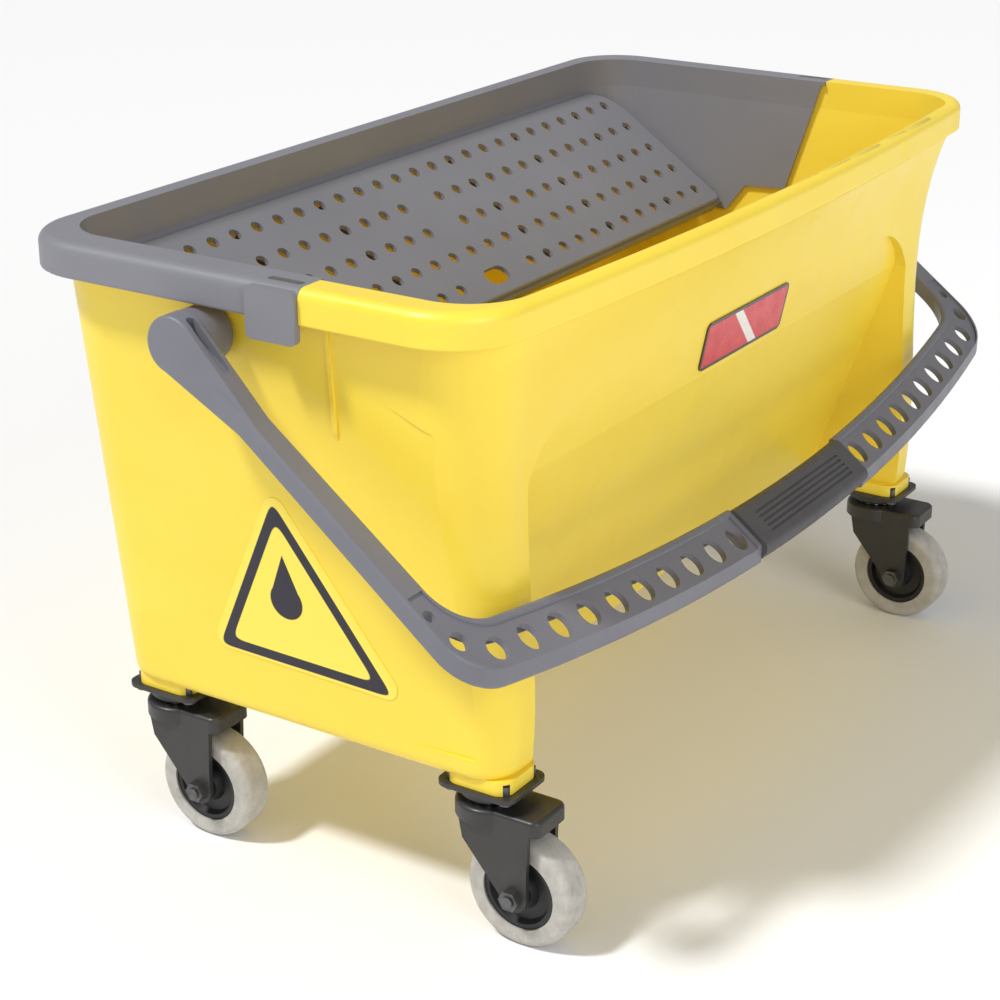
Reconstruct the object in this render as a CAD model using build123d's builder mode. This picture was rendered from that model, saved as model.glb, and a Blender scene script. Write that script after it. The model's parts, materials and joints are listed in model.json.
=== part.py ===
"""Flat-mop bucket on four swivel casters, with a lift-out press wringer and a swinging bail handle.

Millimetres. The long side runs along X, the front is -Y and +Z is up. The shapes are drawn about
the middle of the rim; save() moves them so that the origin is on the floor under the middle of
the whole object, bail handle included.
"""

import os
from math import cos, radians, sin

from build123d import *

os.makedirs("parts", exist_ok=True)

# ---- driving dimensions --------------------------------------------------------------------------
RIM_LENGTH = 720.0
RIM_WIDTH = 350.0
RIM_TOP = 424.0
RIM_BAND = 22.0  # height of the rolled rim
RIM_RADIUS = 50.0  # corner radius of the rim in plan
RIM_BOW = 12.0  # how far the front of the rim bows out in the middle
RIM_SKIRT = 6.0  # wall of the rim's hanging skirt
RIM_ROOF = 6.0
WALL = 4.0  # bucket wall
FLOOR_HEIGHT = 112.0  # underside of the bucket
BOTTOM_FILLET = 11.0
SMALL = 0.3  # clearance between pieces of different bodies
RUNNING_GAP = 0.05  # radial clearance of a pin in its bore

# Bucket body at four heights: half length, front, back, corner radius, bow of the front edge.
# The front stands upright and flares out to the rim above the arch.
ARCH_TOP = 347.0
BODY_TOP = RIM_TOP - RIM_BAND
BODY_LEVELS = (
    (FLOOR_HEIGHT, 316.0, -159.0, 142.0, 24.0, 0.0),
    (230.0, 326.6, -158.0, 151.0, 33.0, 0.0),
    (345.0, 337.0, -158.5, 160.0, 42.0, 1.0),
    (BODY_TOP, 342.0, -172.0, 164.0, 45.0, RIM_BOW),
)

# Arched recess in the front, between the corner columns: it leans in, more so below the crease
ARCH_HALF = 279.0
ARCH_SHOULDER = 336.0
ARCH_RADIUS = 64.0
BAND_TOP_Y = -155.5
CREASE_HEIGHT = 300.0
CREASE_Y = -146.0
PANEL_FOOT_Y = -82.0
BADGE_THICKNESS = 1.2

# Scoop in each end wall, which deepens towards the corner column, and the rib beside it
SCOOP_REAR_Y = -92.0
SCOOP_FRONT_Y = -152.0
SCOOP_DEPTH = 2.4
RIB_Y = -57.0

# Press wringer
CAP_THICKNESS = 3.0  # the cap lies in a rebate of the rim
CAP_FRONT_Y = -52.0  # where the cap ends on both end walls
TAB_WIDTH = 36.0
TAB_BOTTOM = 390.0
TAB_PROUD = 3.0
SLOT_X = 349.0  # finger slot in the cap beside each tab
SLOT_Y = -36.0
BASKET_GAP = 1.0  # between wringer frame and bucket wall
BASKET_WALL = 2.5
PLATE_TOP_Y = 149.0
PLATE_TOP_Z = 399.0
PLATE_SLOPE = 34.0  # degrees
PLATE_LENGTH = 141.0  # down the slope
PLATE_HALF = 325.0
PLATE_THICKNESS = 3.5
HOLE_PITCH_X = 23.4
HOLE_PITCH_S = 26.7
HOLE_RADIUS = 4.8
FIRST_ROW = 17.5
HOLE_COLUMNS = 13  # each side of the middle
HOLE_ROWS = 5

# Bail handle, hinged on the end walls under the rim
PIVOT_Y = 27.0
PIVOT_Z = 382.0
BAIL_ANGLE = 52.5  # degrees forward of hanging straight down
ARM_INNER = 364.0
ARM_TOP = 380.0  # the arms' outside at the pivot, slanting out to ARM_OUTER at the crossbar
ARM_OUTER = 386.0
BAIL_THICKNESS = 16.5
BAR_DROP = 288.0  # from the pivot to the middle of the crossbar
BAR_WIDTH = 35.5
BAR_BOW = 1960.0  # radius of the crossbar's long bow
INNER_CORNER = 34.0
OUTER_CORNER = 36.0
WEB_TOP = 5.25  # the crossbar is a channel on both faces, with a pierced web between
WEB_BOTTOM = 0.75
LIP = 3.5
CHANNEL_START = 205.0  # from the pivot, along the arms
HUB_RADIUS = 17.5
HUB_INNER = 343.5
BOSS_RADIUS = 18.0
BOSS_INNER = 364.4
BOSS_OUTER = 380.4
PIN_RADIUS = 8.0
PIN_END = 377.6
GRIP_HALF = 81.0
BAR_HOLE_START = 96.0
BAR_HOLE_PITCH = 28.2
BAR_HOLES = 9  # on each straight side of the grip
CORNER_HOLES = ((349.8, 256.8, 8.0), (371.0, 241.5, 6.5), (376.0, 220.0, 4.2))

# Casters
CASTER_X = 292.0
CASTER_FRONT_Y = -138.0
CASTER_BACK_Y = 113.0
TRAIL = 27.0
WHEEL_RADIUS = 38.0
HUB_OUTER = 25.5
TREAD_HALF = 12.0
AXLE_RADIUS = 4.0
FORK_INNER = 15.0  # half the gap between the fork's legs
FORK_OUTER = 18.5
PAD_SIZE = (40.0, 46.0)
PAD_BOTTOM = 107.0
MOUNT_SIZE = (46.0, 56.0)
MOUNT_BOTTOM = 103.5
SCREWS_X = 15.0
SCREWS_Y = 20.0
SCREW_RADIUS = 2.5
CROWN_TOP = 95.0
CROWN_BOTTOM = 84.0
CROWN_ROOF = 4.0
RACE_BOTTOM = 97.2
BALL_RADIUS = 2.2
BALL_RING = 14.5
BALL_Z = 96.4
BALLS = 14
KING_PIN_RADIUS = 5.0

YELLOW = (0.93, 0.76, 0.12)
GREY = (0.42, 0.42, 0.45)
BLACK = (0.08, 0.08, 0.08)
LIGHT = (0.65, 0.64, 0.60)
STEEL = (0.72, 0.72, 0.74)


def save(part, name, colour):
    """Writes one piece, moved into the object's own frame."""
    moved = part.moved(Location((0, frame_shift, 0)))
    moved.label = name
    moved.color = Color(*colour)
    export_step(moved, f"parts/{name}.step")


# ---- bucket --------------------------------------------------------------------------------------
def outline(half, front, back, radius, bow):
    """A rounded rectangle whose front edge is bowed outwards in the middle."""
    with BuildSketch() as shape:
        with BuildLine():
            Line((-half, front + radius), (-half, back - radius))
            RadiusArc((-half, back - radius), (-half + radius, back), radius)
            Line((-half + radius, back), (half - radius, back))
            RadiusArc((half - radius, back), (half, back - radius), radius)
            Line((half, back - radius), (half, front + radius))
            RadiusArc((half, front + radius), (half - radius, front), radius)
            if bow:
                ThreePointArc((half - radius, front), (0, front - bow), (radius - half, front))
            else:
                Line((half - radius, front), (radius - half, front))
            RadiusArc((radius - half, front), (-half, front + radius), radius)
        make_face()
    return shape.sketch


def rim_outline(shrink):
    """The plan of the rim, shrunk all round."""
    half_width = RIM_WIDTH / 2 - shrink
    radius = RIM_RADIUS - min(shrink, 20)
    return outline(RIM_LENGTH / 2 - shrink, -half_width, half_width, radius, RIM_BOW)


def body_section(level, inset):
    """One horizontal section of the bucket body, shrunk by inset."""
    z, half, front, back, radius, bow = level
    shape = outline(half - inset, front + inset, back - inset, radius - min(inset, 15), bow)
    return Plane.XY.offset(z) * shape


def body_block(inset=0.0, top=BODY_TOP, bottom=FLOOR_HEIGHT):
    """The bucket body as a solid block, shrunk by inset, with a straight neck up to top."""
    with BuildPart() as block:
        for level in BODY_LEVELS:
            add(body_section(level, inset))
        loft()
        if top > BODY_TOP:
            extrude(body_section(BODY_LEVELS[-1], inset), amount=top - BODY_TOP)
        if bottom > FLOOR_HEIGHT:
            split(bisect_by=Plane.XY.offset(bottom), keep=Keep.TOP)
        fillet(block.edges().group_by(Axis.Z)[0], BOTTOM_FILLET - 0.6 * inset)
    return block.part


def panel_cutter(inset=0.0):
    """What the arched recess takes out of the front; inset makes it larger all round."""
    half = ARCH_HALF + inset
    shoulder = ARCH_SHOULDER + inset
    spring = shoulder - 36
    below = FLOOR_HEIGHT - 20
    slope = (PANEL_FOOT_Y - CREASE_Y) / (CREASE_HEIGHT - FLOOR_HEIGHT)
    band_slope = (CREASE_Y - BAND_TOP_Y) / (ARCH_TOP - CREASE_HEIGHT)
    with BuildPart() as cutter:
        with BuildSketch(Plane.XZ.offset(60)):
            with BuildLine():
                Line((-half, below), (-half, spring))
                RadiusArc((-half, spring), (-half + 60, shoulder), ARCH_RADIUS)
                ThreePointArc((-half + 60, shoulder), (0, ARCH_TOP + inset), (half - 60, shoulder))
                RadiusArc((half - 60, shoulder), (half, spring), ARCH_RADIUS)
                Line((half, spring), (half, below))
                Line((half, below), (-half, below))
            make_face()
        extrude(amount=160)
        # keep only what lies in front of the upper band and the leaning panel
        with BuildSketch(Plane.YZ.offset(-half - 10)):
            with BuildLine():
                Polyline(
                    (-230, below),
                    (PANEL_FOOT_Y + slope * 20 + inset, below),
                    (CREASE_Y + inset, CREASE_HEIGHT),
                    (BAND_TOP_Y - 20 * band_slope + inset, ARCH_TOP + 20),
                    (-230, ARCH_TOP + 20),
                    close=True,
                )
            make_face()
        extrude(amount=2 * half + 20, mode=Mode.INTERSECT)
    return cutter.part


def wall_x(z):
    """Distance of an end wall's outside from the middle, at height z."""
    low, high = BODY_LEVELS[0], BODY_LEVELS[2]
    return low[1] + (high[1] - low[1]) * (z - low[0]) / (high[0] - low[0])


def end_scoop():
    """What the shallow scoop takes out of the left end wall."""
    corner = (-wall_x(FLOOR_HEIGHT), SCOOP_REAR_Y, FLOOR_HEIGHT)
    up = Vector(-wall_x(345) - corner[0], 0, 345 - FLOOR_HEIGHT)
    forward = Vector(SCOOP_DEPTH, SCOOP_FRONT_Y - SCOOP_REAR_Y, 0)
    with BuildPart() as scoop:
        with BuildSketch(Plane.YZ.offset(-365)):
            with BuildLine():
                Polyline(
                    (SCOOP_REAR_Y, FLOOR_HEIGHT + 18),
                    (SCOOP_REAR_Y, 358),
                    (-137, 339),
                    (SCOOP_FRONT_Y + 2, 318),
                    (SCOOP_FRONT_Y, 300),
                    (SCOOP_FRONT_Y, FLOOR_HEIGHT + 18),
                    close=True,
                )
            make_face()
        extrude(amount=80)
        split(bisect_by=Plane(origin=corner, z_dir=up.cross(forward)), keep=Keep.BOTTOM)
    return scoop.part


def rim_block(shrink=0.0, low=BODY_TOP, high=RIM_TOP):
    """The rim's outer block, with its top and bottom edges rounded."""
    with BuildPart() as block:
        with BuildSketch(Plane.XY.offset(low)):
            add(rim_outline(shrink))
        extrude(amount=high - low)
        fillet(block.edges().group_by(Axis.Z)[-1], 7 - shrink)
        fillet(block.edges().group_by(Axis.Z)[0], 1.8)
    return block.part


def bucket_tub():
    """The moulded bucket: walls, arched front, rolled rim, caster pads and pivot bores."""
    neck = body_block(top=RIM_TOP - RIM_ROOF)
    cavity = body_block(inset=WALL, top=RIM_TOP + 5, bottom=FLOOR_HEIGHT + WALL)
    cavity -= panel_cutter(inset=WALL)
    with BuildPart() as groove:
        with BuildSketch(Plane.XY.offset(BODY_TOP - 5)):
            add(rim_outline(RIM_SKIRT))
        extrude(amount=RIM_BAND - RIM_ROOF + 5)
        add(body_block(top=RIM_TOP), mode=Mode.SUBTRACT)
    with BuildPart() as rebate:
        with BuildSketch(Plane.XY.offset(BODY_TOP - 5)):
            with Locations((0, CAP_FRONT_Y + 150)):
                Rectangle(RIM_LENGTH + 40, 300)
        extrude(amount=RIM_BAND + 10)
        with BuildSketch(Plane.XY.offset(BODY_TOP - 5)):
            add(rim_outline(CAP_THICKNESS + SMALL))
        extrude(amount=RIM_BAND + 5 - CAP_THICKNESS - SMALL, mode=Mode.SUBTRACT)
        with BuildSketch(Plane.XY.offset(RIM_TOP - 12)):
            with Locations((-SLOT_X, SLOT_Y), (SLOT_X, SLOT_Y)):
                RectangleRounded(7, 26, 3)
        extrude(amount=12)
    scoop = end_scoop()
    with BuildPart() as tub:
        add(neck)
        add(scoop, mode=Mode.SUBTRACT)
        add(scoop.mirror(Plane.YZ), mode=Mode.SUBTRACT)
        add(panel_cutter(), mode=Mode.SUBTRACT)
        add(rim_block())
        for x, y in CASTERS.values():
            with BuildSketch(Plane.XY.offset(PAD_BOTTOM)):
                with Locations((x, y)):
                    RectangleRounded(*PAD_SIZE, 10)
            extrude(amount=FLOOR_HEIGHT + WALL - PAD_BOTTOM)
        for side in (-1, 1):
            with BuildSketch(Plane.XZ.offset(-RIB_Y)):
                with BuildLine():
                    Polyline(
                        (side * (wall_x(327) + 0.2), 327),
                        (side * (wall_x(332) + 1.6), 332),
                        (side * (wall_x(402) + 1.6), 404),
                        (side * 338, 404),
                        (side * 332, 327),
                        close=True,
                    )
                make_face()
            extrude(amount=2.6)
        add(groove.part, mode=Mode.SUBTRACT)
        add(rebate.part, mode=Mode.SUBTRACT)
        add(cavity, mode=Mode.SUBTRACT)
        for x, y in CASTERS.values():
            with BuildSketch(Plane.XY.offset(PAD_BOTTOM)):
                with Locations((x, y)):
                    with GridLocations(2 * SCREWS_X, 2 * SCREWS_Y, 2, 2):
                        Circle(SCREW_RADIUS + 0.1)
            extrude(amount=7.5, mode=Mode.SUBTRACT)
        for side in (-1, 1):
            with BuildSketch(Plane.YZ.offset(side * 330)):
                with Locations((PIVOT_Y, PIVOT_Z)):
                    Circle(PIN_RADIUS)
            extrude(amount=side * 12, mode=Mode.SUBTRACT)
    return tub.part


# ---- press wringer -------------------------------------------------------------------------------
PRESS = Plane(
    origin=(0, PLATE_TOP_Y, PLATE_TOP_Z),
    x_dir=(1, 0, 0),
    z_dir=(0, -sin(radians(PLATE_SLOPE)), cos(radians(PLATE_SLOPE))),
)


def basket_inner():
    """The room inside the wringer frame's walls."""
    return body_block(WALL + BASKET_GAP + BASKET_WALL, top=RIM_TOP + 5, bottom=200)


def wringer_frame():
    """The cap over the rear rim, its clip tabs, the basket walls and the ledge under the plate."""
    inner = basket_inner()
    with BuildPart() as cap:
        add(rim_block())
        with BuildSketch(Plane.XY.offset(BODY_TOP - 5)):
            add(rim_outline(CAP_THICKNESS))
        extrude(amount=RIM_BAND + 5 - CAP_THICKNESS, mode=Mode.SUBTRACT)
        with BuildSketch(Plane.XY.offset(BODY_TOP - 20)):
            with Locations((0, CAP_FRONT_Y + SMALL + 150)):
                Rectangle(RIM_LENGTH + 40, 300)
        extrude(amount=80, mode=Mode.INTERSECT)
    with BuildPart() as walls:
        add(body_block(WALL + BASKET_GAP, top=RIM_TOP - 1, bottom=200))
        with BuildSketch(Plane.YZ.offset(-400)):
            with BuildLine():
                Polyline(
                    (190, RIM_TOP),
                    (-50, RIM_TOP),
                    (-24, 334),
                    (12, 332),
                    (28, 310),
                    (36, 310),
                    (152, 389),
                    (190, 389),
                    close=True,
                )
            make_face()
        extrude(amount=800, mode=Mode.INTERSECT)
    with BuildPart() as ledge:
        with BuildSketch(PRESS.offset(-PLATE_THICKNESS - SMALL)):
            with Locations((0, -PLATE_LENGTH / 2 + 6)):
                Rectangle(700, PLATE_LENGTH + 16)
            with Locations((0, -PLATE_LENGTH / 2 + 1)):
                RectangleRounded(2 * PLATE_HALF - 24, PLATE_LENGTH - 14, 8, mode=Mode.SUBTRACT)
        extrude(amount=-3)
        with BuildSketch(PRESS.offset(-PLATE_THICKNESS - SMALL)):
            with Locations((0, -PLATE_LENGTH + 1.5)):
                Rectangle(700, 3)
        extrude(amount=-12)
        add(body_block(WALL + BASKET_GAP + 1, top=RIM_TOP - 1, bottom=200), mode=Mode.INTERSECT)
    with BuildPart() as frame:
        add(cap.part)
        add(walls.part)
        add(inner, mode=Mode.SUBTRACT)
        add(ledge.part)
        for side in (-1, 1):
            with BuildSketch(Plane.YZ.offset(side * (RIM_LENGTH / 2 - 2))):
                with Locations((CAP_FRONT_Y + SMALL + TAB_WIDTH / 2, (RIM_TOP + TAB_BOTTOM) / 2 - 1)):
                    RectangleRounded(TAB_WIDTH, RIM_TOP - TAB_BOTTOM - 2, 4)
            extrude(amount=side * (2 + TAB_PROUD))
        with BuildSketch(Plane.XY.offset(RIM_TOP - 8)):
            with Locations((-SLOT_X, SLOT_Y), (SLOT_X, SLOT_Y)):
                RectangleRounded(6, 25, 2.5)
        extrude(amount=20, mode=Mode.SUBTRACT)
    return frame.part


def press_plate():
    """The sloping perforated plate that the mop is pressed on."""
    with BuildPart() as plate:
        with BuildSketch(PRESS):
            with Locations((0, -PLATE_LENGTH / 2)):
                Rectangle(2 * PLATE_HALF, PLATE_LENGTH)
            fillet(vertices().group_by(Axis.Y)[-1], 30)
            fillet(vertices().group_by(Axis.Y)[0], 7)
            for row in range(HOLE_ROWS):
                y = -FIRST_ROW - HOLE_PITCH_S * row
                for column in range(-HOLE_COLUMNS, HOLE_COLUMNS + 1):
                    if column == 0 and row in (1, 2):
                        continue
                    if abs(column) < 2 and row == HOLE_ROWS - 1:
                        continue
                    with Locations((HOLE_PITCH_X * column, y)):
                        Circle(HOLE_RADIUS, mode=Mode.SUBTRACT)
            with Locations((0, -FIRST_ROW - HOLE_PITCH_S * (HOLE_ROWS - 1))):
                SlotOverall(27, 15, mode=Mode.SUBTRACT)
        extrude(amount=-PLATE_THICKNESS)
        with BuildSketch(PRESS.offset(-PLATE_THICKNESS)):
            for column in (-11.5, -7.5, -3.5, 3.5, 7.5, 11.5):
                with Locations((HOLE_PITCH_X * column, -PLATE_LENGTH / 2)):
                    Rectangle(2.5, PLATE_LENGTH - 26)
        extrude(amount=-9)
        top = plate.faces().sort_by(Axis((0, 0, 0), PRESS.z_dir))[-1]
        fillet(top.outer_wire().edges(), 1.2)
    return plate.part


# ---- bail handle ---------------------------------------------------------------------------------
TILT = radians(BAIL_ANGLE)
BAIL = Plane(
    origin=(0, PIVOT_Y, PIVOT_Z),
    x_dir=(1, 0, 0),
    z_dir=(0, -cos(TILT), sin(TILT)),
)


def bar_drop(x):
    """How far below the pivot the middle of the crossbar is, along the arms."""
    return BAR_DROP - x * x / (2 * BAR_BOW)


def bar_piece(half, width, thickness):
    """A length of the crossbar."""
    with BuildPart() as bar:
        with BuildSketch(BAIL):
            with BuildLine():
                low = -bar_drop(half) - width / 2
                high = -bar_drop(half) + width / 2
                ThreePointArc((-half, low), (0, -BAR_DROP - width / 2), (half, low))
                Line((half, low), (half, high))
                ThreePointArc((half, high), (0, -BAR_DROP + width / 2), (-half, high))
                Line((-half, high), (-half, low))
            make_face()
        extrude(amount=thickness / 2, both=True)
    return bar.part


def bail_profile(inset=0.0):
    """The bail's outline in its own plane, shrunk all round by inset."""
    half = BAR_WIDTH / 2 - inset
    top_x = ARM_TOP - inset
    outer_x = ARM_OUTER - inset
    inner_x = ARM_INNER + inset
    outer = -bar_drop(outer_x) - half
    inner = -bar_drop(inner_x) + half
    with BuildSketch() as shape:
        with BuildLine():
            Line((-inner_x, 0), (-top_x, 0))
            Line((-top_x, 0), (-outer_x, outer))
            ThreePointArc((-outer_x, outer), (0, -BAR_DROP - half), (outer_x, outer))
            Line((outer_x, outer), (top_x, 0))
            Line((top_x, 0), (inner_x, 0))
            Line((inner_x, 0), (inner_x, inner))
            ThreePointArc((inner_x, inner), (0, -BAR_DROP + half), (-inner_x, inner))
            Line((-inner_x, inner), (-inner_x, 0))
        make_face()
        corners = vertices().filter_by(lambda vertex: vertex.Y < -50)
        fillet(corners.filter_by(lambda vertex: abs(vertex.X) > top_x), OUTER_CORNER + inset)
        corners = vertices().filter_by(lambda vertex: vertex.Y < -50)
        fillet(corners.filter_by(lambda vertex: abs(abs(vertex.X) - inner_x) < 0.1), INNER_CORNER + inset)
    return shape.sketch


def bar_channels():
    """The long hollows in both faces of the crossbar and its corners, and the holes in the web."""
    with BuildPart() as channels:
        add(BAIL.offset(WEB_TOP) * bail_profile(LIP))
        extrude(amount=BAIL_THICKNESS)
        add(BAIL.offset(WEB_BOTTOM) * bail_profile(LIP))
        extrude(amount=-BAIL_THICKNESS)
        with BuildSketch(BAIL.offset(-20)):
            for side in (-1, 1):
                with Locations((side * (GRIP_HALF + 155), -CHANNEL_START - 60)):
                    Rectangle(300, 120)
        extrude(amount=40, mode=Mode.INTERSECT)
        with BuildSketch(BAIL.offset(-BAIL_THICKNESS)):
            for index in range(BAR_HOLES):
                x = BAR_HOLE_START + BAR_HOLE_PITCH * index
                with Locations((-x, -bar_drop(x)), (x, -bar_drop(x))):
                    Ellipse(8, 9.5)
            for x, drop, radius in CORNER_HOLES:
                with Locations((-x, -drop), (x, -drop)):
                    Circle(radius)
        extrude(amount=2 * BAIL_THICKNESS)
    return channels.part


def bail_boss(side):
    """One end of the bail: a boss that tapers into the arm, and a hub that reaches to the wall."""
    down = Vector(0, -sin(TILT), -cos(TILT))
    across = Vector(0, -cos(TILT), sin(TILT))
    wedge = [down * 3.5 + across * 17.4, down * 78 + across * 5.4, down * 78 - across * 5.4]
    wedge.append(down * 3.5 - across * 17.4)
    with BuildPart() as boss:
        with BuildSketch(Plane.YZ.offset(side * BOSS_INNER)):
            with Locations((PIVOT_Y, PIVOT_Z)):
                Circle(BOSS_RADIUS)
            with BuildLine():
                Polyline(*[(PIVOT_Y + point.Y, PIVOT_Z + point.Z) for point in wedge], close=True)
            make_face()
        extrude(amount=side * (BOSS_OUTER - BOSS_INNER))
        ends = boss.faces().sort_by(Axis.X)
        fillet(ends[0].outer_wire().edges() + ends[-1].outer_wire().edges(), 2.2)
        with BuildSketch(Plane.YZ.offset(side * HUB_INNER)):
            with Locations((PIVOT_Y, PIVOT_Z)):
                Circle(HUB_RADIUS)
        extrude(amount=side * (BOSS_INNER + 3 - HUB_INNER))
    return boss.part


def bail_handle():
    """The moulded bail: bosses and hubs on the pins, two arms and the crossbar."""
    with BuildPart() as bail:
        add(BAIL * bail_profile())
        extrude(amount=BAIL_THICKNESS / 2, both=True)
        across = bail.faces().sort_by(Axis((0, 0, 0), BAIL.z_dir))
        fillet(across[0].outer_wire().edges() + across[-1].outer_wire().edges(), 2.5)
        add(bar_channels(), mode=Mode.SUBTRACT)
        for side in (-1, 1):
            add(bail_boss(side))
            with BuildSketch(Plane.YZ.offset(side * HUB_INNER)):
                with Locations((PIVOT_Y, PIVOT_Z)):
                    Circle(PIN_RADIUS + RUNNING_GAP)
            extrude(amount=side * (PIN_END + 0.4 - HUB_INNER), mode=Mode.SUBTRACT)
        # the core under the grip
        with BuildSketch(BAIL.offset(-20)):
            with Locations((0, -BAR_DROP)):
                Rectangle(2 * GRIP_HALF, 60)
        extrude(amount=40, mode=Mode.SUBTRACT)
        add(bar_piece(GRIP_HALF + 1, BAR_WIDTH - 8, BAIL_THICKNESS - 6))
        # the pocket on each boss
        with BuildSketch(BAIL.offset(25)):
            with Locations((-372, -16), (372, -16)):
                SlotOverall(40, 6.5, rotation=90)
        extrude(amount=-14.5, mode=Mode.SUBTRACT)
    return bail.part


def bail_grip():
    """The ribbed sleeve on the middle of the crossbar."""
    width = BAR_WIDTH + 2
    thickness = BAIL_THICKNESS + 2
    with BuildPart() as grip:
        add(bar_piece(GRIP_HALF - SMALL, width, thickness))
        long_edges = grip.edges().filter_by(lambda edge: edge.length > 100)
        fillet(long_edges, 6)
        add(bar_piece(GRIP_HALF + 2, BAR_WIDTH - 7.8, BAIL_THICKNESS - 5.8), mode=Mode.SUBTRACT)
        for face in (-1, 1):
            with BuildSketch(BAIL.offset(face * thickness / 2)):
                for step in (-8, -4, 0, 4, 8):
                    with Locations((0, -BAR_DROP + 0.6 + step)):
                        SlotOverall(2 * GRIP_HALF - 34, 1.6)
            extrude(amount=-face, mode=Mode.SUBTRACT)
    return grip.part


def bail_pin(side):
    """The fixed pin that the bail turns on, pressed into the end wall."""
    with BuildPart() as pin:
        with BuildSketch(Plane.YZ.offset(side * 336.5)):
            with Locations((PIVOT_Y, PIVOT_Z)):
                Circle(PIN_RADIUS)
        extrude(amount=side * (PIN_END - 336.5))
        with BuildSketch(Plane.YZ.offset(side * 342)):
            with Locations((PIVOT_Y, PIVOT_Z)):
                Circle(12.5)
        extrude(amount=side * 1.2)
    return pin.part


# ---- labels --------------------------------------------------------------------------------------
def end_label(side):
    """A thin three-cornered label on an end wall, following the wall."""
    with BuildPart() as label:
        with BuildSketch(Plane.YZ.offset(side * 300)):
            with BuildLine():
                Polyline((-4, 286), (58, 160), (-97, 156), close=True)
            make_face()
            fillet(vertices(), 9)
        extrude(amount=side * 60)
        add(body_block(-0.6), mode=Mode.INTERSECT)
        add(body_block(), mode=Mode.SUBTRACT)
    return label.part


def front_badge():
    """A small plain badge that lies on the upper band in the front."""
    with BuildPart() as badge:
        with BuildSketch(Plane.XZ.offset(140)):
            with Locations((8, 322)):
                RectangleRounded(122, 35, 5)
        extrude(amount=40)
        add(panel_cutter(), mode=Mode.INTERSECT)
        add(panel_cutter().moved(Location((0, -BADGE_THICKNESS, 0))), mode=Mode.SUBTRACT)
    return badge.part


# ---- casters -------------------------------------------------------------------------------------
def mount_plate(x, y):
    """The pressed plate under the pad."""
    with BuildPart() as plate:
        with BuildSketch(Plane.XY.offset(MOUNT_BOTTOM)):
            with Locations((x, y)):
                RectangleRounded(*MOUNT_SIZE, 8)
                Circle(KING_PIN_RADIUS, mode=Mode.SUBTRACT)
                with GridLocations(2 * SCREWS_X, 2 * SCREWS_Y, 2, 2):
                    Circle(SCREW_RADIUS + 0.1, mode=Mode.SUBTRACT)
        extrude(amount=PAD_BOTTOM - MOUNT_BOTTOM)
        fillet(plate.faces().sort_by(Axis.Z)[0].outer_wire().edges(), 1)
    return plate.part


def mount_screws(x, y):
    """Four pan-head screws with crossed recesses."""
    with BuildPart() as screws:
        with Locations((x, y)):
            with GridLocations(2 * SCREWS_X, 2 * SCREWS_Y, 2, 2):
                with Locations((0, 0, MOUNT_BOTTOM - 2.6)):
                    Cylinder(4.3, 2.6, align=(Align.CENTER, Align.CENTER, Align.MIN))
                    Cylinder(SCREW_RADIUS, 12.4, align=(Align.CENTER, Align.CENTER, Align.MIN))
                with Locations((0, 0, MOUNT_BOTTOM - 2.6)):
                    Box(5, 1, 2.4, mode=Mode.SUBTRACT)
                    Box(1, 5, 2.4, mode=Mode.SUBTRACT)
    return screws.part


def ball_race(x, y):
    """The fixed half of the ball race, welded under the plate."""
    with BuildPart() as race:
        with BuildSketch(Plane.XY.offset(RACE_BOTTOM)):
            with Locations((x, y)):
                Circle(20)
                Circle(8, mode=Mode.SUBTRACT)
        extrude(amount=MOUNT_BOTTOM - RACE_BOTTOM)
        chamfer(race.edges().group_by(Axis.Z)[0].sort_by(SortBy.LENGTH)[-1], 2)
        with Locations((x, y, BALL_Z)):
            Torus(BALL_RING, BALL_RADIUS + SMALL, mode=Mode.SUBTRACT)
    return race.part


def race_balls(x, y):
    """The balls of the swivel."""
    with BuildPart() as balls:
        with Locations((x, y, BALL_Z)):
            with PolarLocations(BALL_RING, BALLS):
                Sphere(BALL_RADIUS)
    return balls.part


def king_pin(x, y):
    """The rivet that the fork swivels on."""
    roof = CROWN_TOP - CROWN_ROOF
    with BuildPart() as pin:
        with Locations((x, y, roof - SMALL - 3.2)):
            Cylinder(9, 3.2, align=(Align.CENTER, Align.CENTER, Align.MIN))
            Cylinder(
                KING_PIN_RADIUS,
                PAD_BOTTOM - 0.3 - roof + SMALL + 3.2,
                align=(Align.CENTER, Align.CENTER, Align.MIN),
            )
        chamfer(pin.edges().group_by(Axis.Z)[0], 1)
    return pin.part


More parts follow.
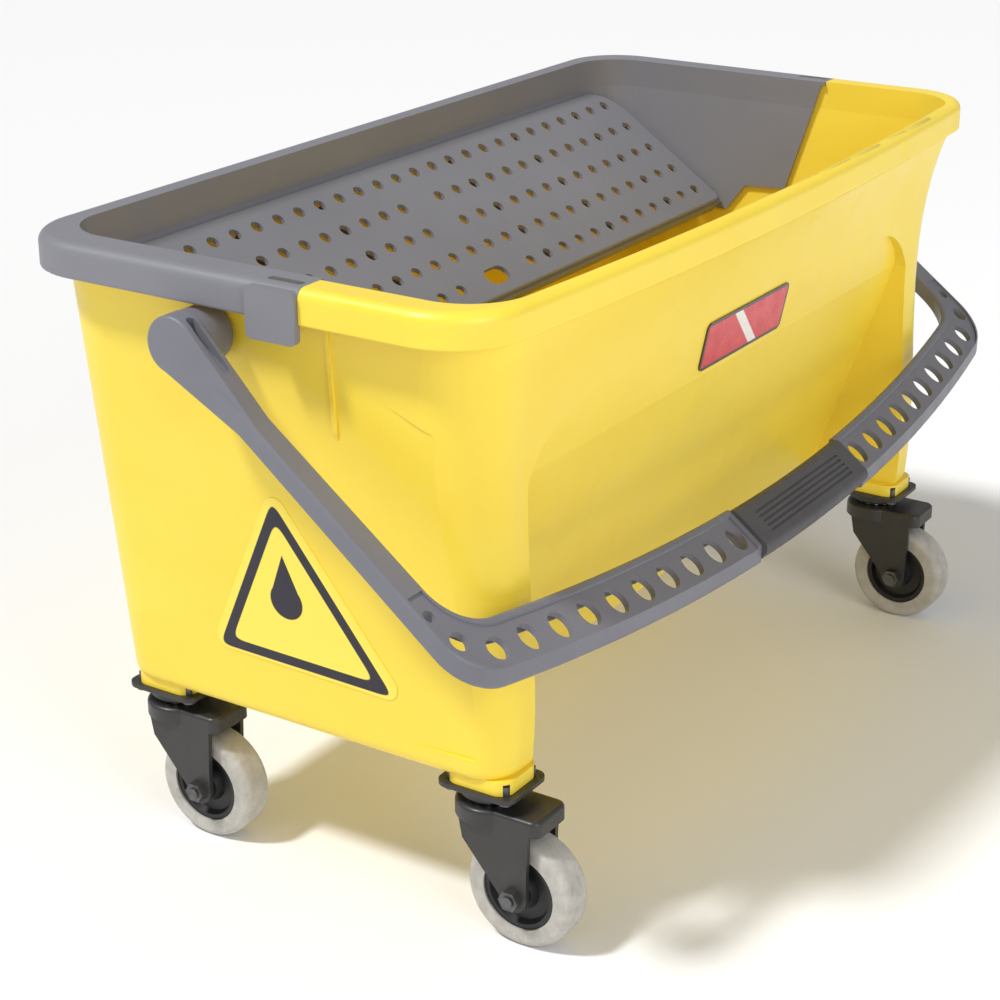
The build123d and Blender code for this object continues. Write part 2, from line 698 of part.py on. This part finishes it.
def fork(x, y):
    """The pressed fork: a crown on the balls, a hood forward of it and two legs to the axle."""
    axle_y = y - TRAIL
    with BuildPart() as part:
        with BuildSketch(Plane.XY.offset(CROWN_BOTTOM)):
            with Locations((x, y)):
                Circle(23)
            with Locations((x, y - 22)):
                RectangleRounded(2 * FORK_OUTER, 46, 7)
        extrude(amount=CROWN_TOP - CROWN_BOTTOM)
        fillet(part.faces().sort_by(Axis.Z)[-1].outer_wire().edges(), 3)
        with BuildSketch(Plane.XY.offset(CROWN_BOTTOM - 1)):
            with Locations((x, y)):
                Circle(19.5)
            with Locations((x, y - 22)):
                RectangleRounded(2 * FORK_INNER, 39, 4)
        extrude(amount=CROWN_TOP - CROWN_ROOF - CROWN_BOTTOM + 1, mode=Mode.SUBTRACT)
        for side in (-1, 1):
            with BuildSketch(Plane.YZ.offset(x + side * FORK_INNER)):
                with BuildLine():
                    Polyline(
                        (y - 38, CROWN_BOTTOM + 4),
                        (y - 38, CROWN_BOTTOM - 2),
                        (axle_y - 10, WHEEL_RADIUS + 18),
                        (axle_y - 10, WHEEL_RADIUS),
                        (axle_y + 10, WHEEL_RADIUS),
                        (y + 10, CROWN_BOTTOM - 14),
                        (y + 13.5, CROWN_BOTTOM + 4),
                        close=True,
                    )
                make_face()
                with Locations((axle_y, WHEEL_RADIUS)):
                    Circle(10)
            extrude(amount=side * (FORK_OUTER - FORK_INNER))
        with BuildSketch(Plane.YZ.offset(x - 30)):
            with Locations((axle_y, WHEEL_RADIUS)):
                Circle(AXLE_RADIUS)
        extrude(amount=60, mode=Mode.SUBTRACT)
        with Locations((x, y, CROWN_TOP)):
            Cylinder(KING_PIN_RADIUS + RUNNING_GAP, 30, mode=Mode.SUBTRACT)
        with Locations((x, y, BALL_Z)):
            Torus(BALL_RING, BALL_RADIUS, mode=Mode.SUBTRACT)
    return part.part


def axle_bolt(x, y):
    """The axle: a hexagon bolt through both legs."""
    with BuildPart() as bolt:
        with BuildSketch(Plane.YZ.offset(x + FORK_OUTER)):
            with Locations((y - TRAIL, WHEEL_RADIUS)):
                RegularPolygon(7.2, 6)
        extrude(amount=4.6)
        with BuildSketch(Plane.YZ.offset(x - FORK_OUTER - 7)):
            with Locations((y - TRAIL, WHEEL_RADIUS)):
                Circle(AXLE_RADIUS)
        extrude(amount=2 * FORK_OUTER + 7)
    return bolt.part


def axle_nut(x, y):
    """The lock nut on the axle."""
    with BuildPart() as nut:
        with BuildSketch(Plane.YZ.offset(x - FORK_OUTER)):
            with Locations((y - TRAIL, WHEEL_RADIUS)):
                RegularPolygon(7.2, 6)
        extrude(amount=-5.4)
        with BuildSketch(Plane.YZ.offset(x - FORK_OUTER - 10)):
            with Locations((y - TRAIL, WHEEL_RADIUS)):
                Circle(AXLE_RADIUS)
        extrude(amount=10, mode=Mode.SUBTRACT)
    return nut.part


def spun(x, y, points):
    """A solid turned about the axle from a profile of (along the axle, radius) points."""
    axle = Axis((x, y - TRAIL, WHEEL_RADIUS), (1, 0, 0))
    with BuildPart() as solid:
        with BuildSketch(Plane(origin=(x, y - TRAIL, WHEEL_RADIUS), z_dir=(0, -1, 0), x_dir=(1, 0, 0))):
            with BuildLine():
                Polyline(*points, close=True)
            make_face()
        revolve(axis=axle)
    return solid.part


def wheel_hub(x, y):
    """The moulded hub, dished on both sides, with a boss round the bush."""
    half = [(12.6, 6.1), (12.6, 10.5), (6.5, 12.5), (6.5, 20.0), (10.5, 22.0), (10.5, HUB_OUTER)]
    other = [(-a, b) for a, b in reversed(half)]
    return spun(x, y, half + other)


def wheel_bush(x, y):
    """The plain bearing pressed into the hub."""
    inner = AXLE_RADIUS + RUNNING_GAP
    half = FORK_INNER - SMALL
    return spun(x, y, [(-half, inner), (half, inner), (half, 6.1), (-half, 6.1)])


def wheel_tread(x, y):
    """The soft tread, with rounded shoulders."""
    half = TREAD_HALF
    top = WHEEL_RADIUS
    with BuildPart() as tread:
        add(spun(x, y, [(-half, HUB_OUTER), (half, HUB_OUTER), (half, top), (-half, top)]))
        outer = tread.edges().filter_by(GeomType.CIRCLE).filter_by(lambda edge: edge.radius > 37)
        fillet(outer, 5)
    return tread.part


CASTERS = {
    "front_left": (-CASTER_X, CASTER_FRONT_Y),
    "front_right": (CASTER_X, CASTER_FRONT_Y),
    "back_left": (-CASTER_X, CASTER_BACK_Y),
    "back_right": (CASTER_X, CASTER_BACK_Y),
}

# The whole object reaches from the grip on the bail to the back of the rim.
grip = bail_grip()
frame_shift = -(grip.bounding_box().min.Y + RIM_WIDTH / 2) / 2
print("shift in Y", frame_shift)

save(bucket_tub(), "bucket_tub", YELLOW)
save(wringer_frame(), "wringer_frame", GREY)
save(press_plate(), "press_plate", GREY)
save(bail_handle(), "bail_handle", GREY)
save(grip, "bail_grip", BLACK)
for name, side in (("left", -1), ("right", 1)):
    save(bail_pin(side), f"bail_pin_{name}", GREY)
    save(end_label(side), f"end_label_{name}", BLACK)
save(front_badge(), "front_badge", (0.75, 0.1, 0.1))
for place, (x, y) in CASTERS.items():
    save(mount_plate(x, y), f"caster_{place}_plate", STEEL)
    save(mount_screws(x, y), f"caster_{place}_screws", STEEL)
    save(ball_race(x, y), f"caster_{place}_race", STEEL)
    save(race_balls(x, y), f"caster_{place}_balls", STEEL)
    save(king_pin(x, y), f"caster_{place}_king_pin", STEEL)
    save(fork(x, y), f"caster_{place}_fork", STEEL)
    save(axle_bolt(x, y), f"caster_{place}_axle_bolt", STEEL)
    save(axle_nut(x, y), f"caster_{place}_axle_nut", STEEL)
    save(wheel_hub(x, y), f"caster_{place}_hub", BLACK)
    save(wheel_bush(x, y), f"caster_{place}_bush", STEEL)
    save(wheel_tread(x, y), f"caster_{place}_tread", LIGHT)
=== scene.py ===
"""Looks for the flat-mop bucket: materials and prints on the CAD frame, with a floor, lights and a camera."""

import json
from math import cos, sin

import bmesh
import bpy
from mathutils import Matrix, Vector


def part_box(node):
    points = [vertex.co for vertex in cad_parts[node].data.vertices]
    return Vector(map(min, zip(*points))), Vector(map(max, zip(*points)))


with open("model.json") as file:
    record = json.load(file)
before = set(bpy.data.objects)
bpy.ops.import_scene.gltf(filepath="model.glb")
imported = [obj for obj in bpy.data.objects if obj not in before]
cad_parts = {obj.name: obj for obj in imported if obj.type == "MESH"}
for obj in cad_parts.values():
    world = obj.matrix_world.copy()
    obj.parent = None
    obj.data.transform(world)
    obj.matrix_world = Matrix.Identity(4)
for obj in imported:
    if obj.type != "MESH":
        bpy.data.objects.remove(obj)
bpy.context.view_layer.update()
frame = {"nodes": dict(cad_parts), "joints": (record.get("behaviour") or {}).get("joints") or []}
NODES = frame["nodes"]
JOINTS = {joint["name"]: joint for joint in frame["joints"]}
MM = 0.001

# The reference view, in metres and radians, before the part's shift.
CAMERA_PLACE = (-1.308, -0.798, 0.780)
CAMERA_YAW = 0.999
CAMERA_PITCH = -0.383
SENSOR_WIDTH = 36
FOCAL_LENGTH = 2217 * SENSOR_WIDTH / 1000
UNSHIFTED_HINGE_Y = 27 * MM

WORLD_STRENGTH = 0.40
KEY_POWER = 2.5
KEY_PLACE = (-1.0, 0.75, 2.1)
KEY_ANGLE = 0.14
FILL_SIZE = 2.0
FILL_POWER = 38
FILL_PLACE = (-1.3, -2.9, 1.6)
LIT_POINT = (0, 0, 0.2)
FLOOR_HALF = 60

# The end label's outline and water drop, in metres.
APEX_SHARE = 0.60
CORNER_BLEND = 0.012
OUTLINE_OUTER = (0.0028, 0.0033)
OUTLINE_INNER = (0.0098, 0.0103)
DROP_RADIUS = 0.0125
DROP_TIP_RISE = 0.033
DROP_SHOULDER = (0.0118, 0.0035)
DISC_BLUR = 0.0003
CONE_BLUR = 0.0004

# The front badge's border and slanting bar, in metres.
BADGE_BORDER = (0.0022, 0.0027)
BADGE_BAR = (0.0055, 0.006)
BADGE_SLANT = 1.1


# ---- shader helpers ------------------------------------------------------------------------------
class Shader:
    """A small wrapper round one node tree, so that materials read as recipes."""

    def __init__(self, name):
        self.material = bpy.data.materials.new(name)
        self.material.use_nodes = True
        self.tree = self.material.node_tree
        self.surface = self.tree.nodes["Principled BSDF"]
        self.place = self.node("ShaderNodeTexCoord").outputs["Object"]

    def node(self, kind, **settings):
        made = self.tree.nodes.new(kind)
        for key, value in settings.items():
            setattr(made, key, value)
        return made

    def put(self, value, socket):
        """Links a socket or sets a plain value."""
        if isinstance(value, bpy.types.NodeSocket):
            self.tree.links.new(value, socket)
        else:
            socket.default_value = value

    def set(self, **values):
        """Sets the shader's own sockets, such as roughness=0.4."""
        for key, value in values.items():
            self.put(value, self.surface.inputs[key.replace("_", " ").title()])

    def math(self, operation, first, second=0.0, third=0.0):
        made = self.node("ShaderNodeMath", operation=operation)
        for socket, value in zip(made.inputs, (first, second, third)):
            self.put(value, socket)
        return made.outputs[0]

    def noise(self, scale, detail=3.0, roughness=0.5, stretch=(1, 1, 1)):
        mapping = self.node("ShaderNodeMapping")
        mapping.inputs["Scale"].default_value = stretch
        self.put(self.place, mapping.inputs["Vector"])
        made = self.node("ShaderNodeTexNoise")
        self.put(mapping.outputs[0], made.inputs["Vector"])
        made.inputs["Scale"].default_value = scale
        made.inputs["Detail"].default_value = detail
        made.inputs["Roughness"].default_value = roughness
        return made.outputs["Fac"]

    def span(self, value, low, high, to_low, to_high):
        """Maps value from low..high to to_low..to_high, clamped."""
        made = self.node("ShaderNodeMapRange")
        for socket, number in zip(made.inputs, (value, low, high, to_low, to_high)):
            self.put(number, socket)
        return made.outputs[0]

    def mix(self, share, first, second):
        """Mixes two colours."""
        made = self.node("ShaderNodeMix", data_type="RGBA")
        self.put(share, made.inputs["Factor"])
        self.put(first, made.inputs[6])
        self.put(second, made.inputs[7])
        return made.outputs[2]

    def bump(self, height, strength, distance=0.001):
        made = self.node("ShaderNodeBump")
        made.inputs["Strength"].default_value = strength
        made.inputs["Distance"].default_value = distance
        self.put(height, made.inputs["Height"])
        if self.surface.inputs["Normal"].is_linked:
            self.put(self.surface.inputs["Normal"].links[0].from_socket, made.inputs["Normal"])
        self.put(made.outputs[0], self.surface.inputs["Normal"])

    def axes(self):
        """The three coordinates of the place on the surface, in metres."""
        made = self.node("ShaderNodeSeparateXYZ")
        self.put(self.place, made.inputs[0])
        return made.outputs


def rgb(red, green, blue):
    """An 8-bit screen colour as linear light."""
    values = []
    for channel in (red, green, blue):
        part = channel / 255
        values.append(part / 12.92 if part <= 0.04045 else ((part + 0.055) / 1.055) ** 2.4)
    return (*values, 1.0)


# ---- materials -----------------------------------------------------------------------------------
def moulded(name, light, dark, roughness, grain=0.12, grain_scale=2600, coat=0.0):
    """A moulded plastic: a fine grain, faint flow marks and dull scuffs."""
    shader = Shader(name)
    flow = shader.noise(5, 4, 0.55, (1, 1, 2.2))
    scuffs = shader.noise(46, 6, 0.72, (1, 1, 0.35))
    shader.set(base_color=shader.mix(shader.span(flow, 0.35, 0.7, 0.0, 1.0), light, dark))
    rough = shader.span(scuffs, 0.42, 0.72, roughness, roughness + 0.16)
    shader.set(roughness=rough, coat_weight=coat, coat_roughness=0.25)
    shader.bump(shader.noise(grain_scale, 2), grain, 0.0004)
    shader.bump(shader.noise(26, 2), 0.05, 0.002)
    return shader


def metal(name, colour, roughness, streaks=(1, 1, 1)):
    """Bare or plated steel: a bright surface with a fine cloudy variation."""
    shader = Shader(name)
    cloud = shader.noise(190, 5, 0.6, streaks)
    dark = tuple(channel * 0.72 for channel in colour[:3]) + (1.0,)
    shader.set(base_color=shader.mix(shader.span(cloud, 0.35, 0.7, 0.0, 1.0), colour, dark))
    shader.set(metallic=1.0, roughness=shader.span(cloud, 0.3, 0.75, roughness, roughness + 0.18))
    shader.bump(shader.noise(900, 3), 0.06, 0.0004)
    return shader


YELLOW = moulded("yellow_plastic", rgb(250, 222, 72), rgb(246, 214, 60), 0.36, coat=0.12)
YELLOW.set(subsurface_weight=0.06, subsurface_scale=0.004)
GREY = moulded("grey_plastic", rgb(128, 128, 135), rgb(120, 120, 127), 0.42, grain=0.25, grain_scale=1900)
BAIL = moulded("bail_plastic", rgb(120, 120, 129), rgb(110, 110, 119), 0.40, grain=0.18, grain_scale=1900)
GRIP = moulded("grip_plastic", rgb(84, 84, 88), rgb(74, 74, 78), 0.55, grain=0.35, grain_scale=1500)
PIN = moulded("pin_plastic", rgb(70, 70, 74), rgb(60, 60, 64), 0.45)
HUB = moulded("hub_plastic", rgb(34, 34, 37), rgb(26, 26, 28), 0.45, grain=0.2)
ZINC = metal("zinc_steel", rgb(206, 208, 212), 0.24)
SCREW = metal("screw_steel", rgb(112, 112, 115), 0.38)
BALL = metal("ball_steel", rgb(215, 216, 220), 0.12)
BLACK = moulded("black_steel", rgb(46, 45, 45), rgb(38, 37, 37), 0.42, grain=0.25, grain_scale=1500, coat=0.2)
BUSH = metal("bush_steel", rgb(170, 170, 172), 0.35, streaks=(0.1, 1, 1))


def tread_rubber():
    """Light grey non-marking tread, dusty where it rolls."""
    shader = Shader("tread_rubber")
    dust = shader.noise(120, 6, 0.65)
    shade = shader.span(dust, 0.4, 0.7, 0, 1)
    shader.set(base_color=shader.mix(shade, rgb(186, 183, 176), rgb(166, 162, 154)))
    shader.set(roughness=shader.span(dust, 0.3, 0.7, 0.55, 0.78))
    shader.bump(shader.noise(1400, 3), 0.35, 0.0005)
    return shader


TREAD = tread_rubber()


def edge_distance(shader, y, z, first, second):
    """How far a point lies inside the edge from first to second, in metres (positive on the left)."""
    run = Vector((second[0] - first[0], second[1] - first[1])).normalized()
    across = Vector((-run.y, run.x))
    offset = -(across.x * first[0] + across.y * first[1])
    part = shader.math("ADD", shader.math("MULTIPLY", y, across.x), shader.math("MULTIPLY", z, across.y))
    return shader.math("ADD", part, offset)


def disc(shader, y, z, centre, radius):
    """1 inside a disc, 0 outside, with a soft edge."""
    dy = shader.math("SUBTRACT", y, centre[0])
    dz = shader.math("SUBTRACT", z, centre[1])
    squares = shader.math("ADD", shader.math("MULTIPLY", dy, dy), shader.math("MULTIPLY", dz, dz))
    away = shader.math("SQRT", squares)
    return shader.span(away, radius - DISC_BLUR, radius + DISC_BLUR, 1.0, 0.0)


def label_print():
    """A plain three-cornered end label: a dark outline round a water drop."""
    low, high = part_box("end_label_left")
    apex_y = low.y + (high.y - low.y) * APEX_SHARE
    apex = (apex_y, high.z + 0.004)
    rear = (high.y + 0.003, low.z + 0.002)
    front = (low.y - 0.003, low.z - 0.001)
    shader = Shader("label_print")
    _, y, z = shader.axes()
    sides = [
        edge_distance(shader, y, z, front, rear),
        edge_distance(shader, y, z, rear, apex),
        edge_distance(shader, y, z, apex, front),
    ]
    inside = shader.math("SMOOTH_MIN", sides[0], sides[1], CORNER_BLEND)
    inside = shader.math("SMOOTH_MIN", inside, sides[2], CORNER_BLEND)
    outer = shader.span(inside, *OUTLINE_OUTER, 0.0, 1.0)
    inner = shader.span(inside, *OUTLINE_INNER, 1.0, 0.0)
    ring = shader.math("MULTIPLY", outer, inner)
    middle = (apex_y - 0.004, low.z + 0.050)
    drop = disc(shader, y, z, middle, DROP_RADIUS)
    tip = (middle[0], middle[1] + DROP_TIP_RISE)
    left = (middle[0] - DROP_SHOULDER[0], middle[1] + DROP_SHOULDER[1])
    right = (middle[0] + DROP_SHOULDER[0], middle[1] + DROP_SHOULDER[1])
    base = edge_distance(shader, y, z, left, right)
    slope = edge_distance(shader, y, z, right, tip)
    cone = shader.math("MINIMUM", base, slope)
    cone = shader.math("MINIMUM", cone, edge_distance(shader, y, z, tip, left))
    cone = shader.span(cone, 0.0, CONE_BLUR, 0.0, 1.0)
    drop = shader.math("MAXIMUM", drop, cone)
    ink = shader.math("MAXIMUM", ring, drop)
    wear = shader.span(shader.noise(380, 5, 0.7), 0.24, 0.32, 0.55, 1.0)
    worn = shader.math("MULTIPLY", ink, wear)
    shader.set(base_color=shader.mix(worn, rgb(252, 228, 84), rgb(26, 22, 40)))
    shader.set(roughness=shader.span(shader.noise(60, 4), 0.35, 0.7, 0.30, 0.42))
    shader.bump(shader.noise(900, 2), 0.05, 0.0003)
    return shader


def badge_print():
    """A plain red front badge with a dark border and a pale sloping bar."""
    low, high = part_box("front_badge")
    shader = Shader("badge_print")
    x, _, z = shader.axes()
    centre_x, centre_z = (low.x + high.x) / 2, (low.z + high.z) / 2
    half_x, half_z = (high.x - low.x) / 2, (high.z - low.z) / 2
    across = shader.math("ABSOLUTE", shader.math("SUBTRACT", x, centre_x))
    upward = shader.math("ABSOLUTE", shader.math("SUBTRACT", z, centre_z))
    depth = shader.math(
        "MINIMUM", shader.math("SUBTRACT", half_x, across), shader.math("SUBTRACT", half_z, upward)
    )
    border = shader.span(depth, *BADGE_BORDER, 1.0, 0.0)
    rise = shader.math("MULTIPLY", shader.math("SUBTRACT", z, centre_z), BADGE_SLANT)
    slope = shader.math("ADD", shader.math("SUBTRACT", x, centre_x), rise)
    bar = shader.span(shader.math("ABSOLUTE", slope), *BADGE_BAR, 1.0, 0.0)
    cloud = shader.noise(90, 4)
    red = shader.mix(shader.span(cloud, 0.35, 0.7, 0.0, 1.0), rgb(216, 24, 40), rgb(200, 18, 34))
    face = shader.mix(bar, red, rgb(236, 232, 222))
    shader.set(base_color=shader.mix(border, face, rgb(52, 30, 32)))
    shader.set(roughness=shader.span(cloud, 0.3, 0.7, 0.22, 0.36), coat_weight=0.3, coat_roughness=0.15)
    shader.bump(shader.noise(700, 2), 0.04, 0.0003)
    return shader


LABEL = label_print()
BADGE = badge_print()


def finish_for(name):
    """The material that a CAD node gets, by its name."""
    exact = {
        "bucket_tub": YELLOW, "bail_handle": BAIL, "wringer_frame": GREY, "press_plate": GREY,
        "bail_grip": GRIP, "front_badge": BADGE,
    }
    if name in exact:
        return exact[name]
    endings = (
        ("_hub", HUB), ("_tread", TREAD), ("_bush", BUSH), ("_balls", BALL), ("_screws", SCREW),
        ("_bolt", SCREW), ("_nut", SCREW), ("_plate", BLACK), ("_fork", BLACK), ("_race", BLACK),
    )
    for ending, shader in endings:
        if name.endswith(ending):
            return shader
    if name.startswith("end_label"):
        return LABEL
    if name.startswith("bail_pin"):
        return PIN
    return ZINC


for name, node in NODES.items():
    node.data.materials.clear()
    node.data.materials.append(finish_for(name).material)


# ---- room: floor, light and camera ---------------------------------------------------------------
def room():
    """A plain pale floor that reaches far behind the object."""
    mesh = bpy.data.meshes.new("floor")
    shape = bmesh.new()
    bmesh.ops.create_grid(shape, x_segments=1, y_segments=1, size=FLOOR_HALF)
    shape.to_mesh(mesh)
    floor = bpy.data.objects.new("floor", mesh)
    bpy.context.scene.collection.objects.link(floor)
    shader = Shader("floor")
    shader.set(base_color=(0.9, 0.9, 0.9, 1), roughness=0.75)
    mesh.materials.append(shader.material)


def lamp(name, size, power, place, target):
    """A soft area light."""
    data = bpy.data.lights.new(name, "AREA")
    data.shape = "DISK"
    data.size = size
    data.energy = power
    light = bpy.data.objects.new(name, data)
    light.location = place
    light.rotation_euler = (Vector(target) - Vector(place)).to_track_quat("-Z", "Y").to_euler()
    bpy.context.scene.collection.objects.link(light)


def sun(name, power, place, target):
    """Even light from one side, with a fairly soft edge to its shadow."""
    data = bpy.data.lights.new(name, "SUN")
    data.energy = power
    data.angle = KEY_ANGLE
    light = bpy.data.objects.new(name, data)
    light.rotation_euler = (Vector(target) - Vector(place)).to_track_quat("-Z", "Y").to_euler()
    bpy.context.scene.collection.objects.link(light)


def light_and_camera():
    """Soft light from high on the left and behind, and the camera of the reference view."""
    world = bpy.data.worlds.new("studio")
    world.use_nodes = True
    background = world.node_tree.nodes["Background"]
    background.inputs["Color"].default_value = (1, 1, 1, 1)
    background.inputs["Strength"].default_value = WORLD_STRENGTH
    bpy.context.scene.world = world
    sun("key", KEY_POWER, KEY_PLACE, LIT_POINT)
    lamp("fill", FILL_SIZE, FILL_POWER, FILL_PLACE, LIT_POINT)

    shift = JOINTS["bail_swing"]["pos_m"][1] - UNSHIFTED_HINGE_Y
    camera = bpy.data.cameras.new("camera")
    camera.sensor_width = SENSOR_WIDTH
    camera.lens = FOCAL_LENGTH
    camera.clip_start = 0.05
    holder = bpy.data.objects.new("camera", camera)
    across, back, up = CAMERA_PLACE
    holder.location = (across, back + shift, up)
    level = cos(CAMERA_PITCH)
    look = Vector((sin(CAMERA_YAW) * level, cos(CAMERA_YAW) * level, sin(CAMERA_PITCH)))
    holder.rotation_euler = look.to_track_quat("-Z", "Y").to_euler()
    bpy.context.scene.collection.objects.link(holder)
    bpy.context.scene.camera = holder


room()
light_and_camera()
bpy.context.scene.view_settings.view_transform = "Standard"
